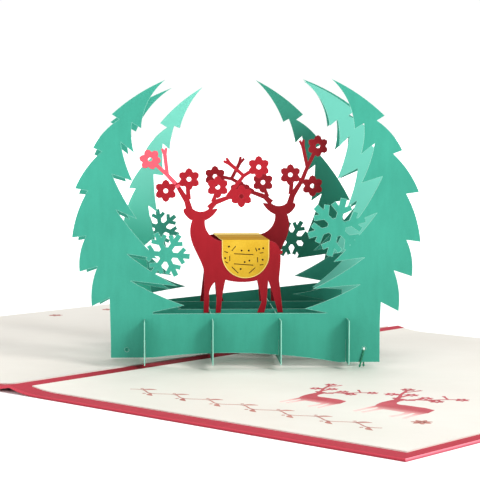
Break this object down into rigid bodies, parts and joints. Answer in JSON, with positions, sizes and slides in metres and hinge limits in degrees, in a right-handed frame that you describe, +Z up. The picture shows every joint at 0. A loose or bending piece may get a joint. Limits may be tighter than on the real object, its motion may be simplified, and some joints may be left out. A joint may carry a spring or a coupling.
{
  "type": "pop up card",
  "caption": "Open folded greeting card with a slotted paper lattice that raises fir trees, snowflakes and a pair of deer under a shared saddle blanket.",
  "frame": {"origin": "on the table below the middle of the card's fold", "axes": "+Z up; +X to the viewer's right along the tree sheets; +Y away from the viewer; the fold runs along the diagonal of +X and +Y"},
  "size_m": [0.3536, 0.3536, 0.0987],
  "materials": {
    "cover_red": "matt card",
    "liner_ivory": "matt paper",
    "tree_green": "matt paper",
    "deer_red": "matt paper",
    "blanket_yellow": "matt paper",
    "thread_green": "twisted thread"
  },
  "bodies": {
    "root": {"card_cover": "cover_red", "right_liner": "liner_ivory", "left_liner": "liner_ivory", "front_tree_panel": "tree_green", "second_tree_panel": "tree_green", "third_tree_panel": "tree_green", "rear_tree_panel": "tree_green", "cross_strip_1": "tree_green", "cross_strip_2": "tree_green", "cross_strip_3": "tree_green", "cross_strip_4": "tree_green", "front_deer": "deer_red", "rear_deer": "deer_red", "saddle_blanket": "blanket_yellow", "right_tie": "thread_green", "left_tie": "thread_green"}
  },
  "joints": []
}
